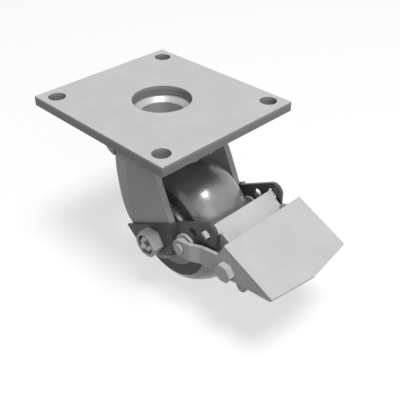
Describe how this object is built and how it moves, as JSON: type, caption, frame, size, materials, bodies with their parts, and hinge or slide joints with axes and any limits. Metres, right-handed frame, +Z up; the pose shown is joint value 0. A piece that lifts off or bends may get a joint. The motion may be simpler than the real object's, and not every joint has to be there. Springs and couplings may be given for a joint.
{
  "type": "kingpinless swivel caster with foot brake",
  "caption": "Heavy-duty plate caster: kingpinless ball swivel, pressed steel fork, domed wheel on ball bearings, and a folded foot pedal that presses a shoe on the tread.",
  "frame": {"origin": "centre of the top plate's top face, on the swivel axis", "axes": "+Z up out of the plate, +X towards the brake pedal (the wheel trails to +X), +Y along the axle to the left side"},
  "size_m": [0.2182, 0.127, 0.1429],
  "materials": {
    "zinc_plate": "zinc plated, satin",
    "bright_zinc": "bright zinc plated",
    "dark_steel": "black coated, satin",
    "race_steel": "ground and polished",
    "cast_core": "turned faces",
    "tread_rubber": "moulded, semi-matte",
    "seal_rubber": "matte",
    "fitting_metal": "plated, bright"
  },
  "bodies": {
    "mount_plate": {"top_plate": "zinc_plate", "inner_race": "race_steel"},
    "fork": {"outer_race": "zinc_plate", "race_balls": "race_steel", "swivel_seal": "seal_rubber", "swivel_grease_fitting": "fitting_metal", "left_leg": "zinc_plate", "right_leg": "zinc_plate", "left_bracket": "dark_steel", "right_bracket": "dark_steel", "left_pivot_stud": "bright_zinc", "right_pivot_stud": "bright_zinc", "left_pivot_spacer": "bright_zinc", "right_pivot_spacer": "bright_zinc", "axle_bolt": "bright_zinc", "axle_grease_fitting": "fitting_metal", "axle_washer": "bright_zinc", "axle_nut": "bright_zinc", "axle_sleeve": "bright_zinc", "bearing_spacer": "bright_zinc", "left_bearing_inner": "race_steel", "right_bearing_inner": "race_steel", "left_hub_spacer": "bright_zinc", "right_hub_spacer": "bright_zinc"},
    "wheel": {"tread": "tread_rubber", "wheel_core": "cast_core", "left_bearing_outer": "race_steel", "right_bearing_outer": "race_steel", "left_bearing_balls": "race_steel", "right_bearing_balls": "race_steel", "left_bearing_shield": "race_steel", "right_bearing_shield": "race_steel"},
    "pedal": {"brake_pedal": "zinc_plate", "cross_bolt": "bright_zinc", "cross_nut": "bright_zinc", "cross_sleeve": "bright_zinc"},
    "shoe": {"brake_shoe": "bright_zinc"}
  },
  "joints": [
    {"name": "swivel", "type": "hinge", "parent": "mount_plate", "child": "fork", "pos_m": [0, 0, -0.0215], "axis": [0, 0, 1], "continuous": true},
    {"name": "wheel_spin", "type": "hinge", "parent": "fork", "child": "wheel", "pos_m": [0.0304, 0, -0.0921], "axis": [0, 1, 0], "continuous": true},
    {"name": "pedal_press", "type": "hinge", "parent": "fork", "child": "pedal", "pos_m": [0.0617, 0, -0.0809], "axis": [0, 1, 0], "range_deg": [0, 7]},
    {"name": "shoe_swing", "type": "hinge", "parent": "fork", "child": "shoe", "pos_m": [0.0814, 0, -0.061], "axis": [0, 1, 0], "range_deg": [0, 13.4]}
  ],
  "couplings": [
    {"joint": "shoe_swing", "follows": "pedal_press", "ratio": 1.9}
  ]
}
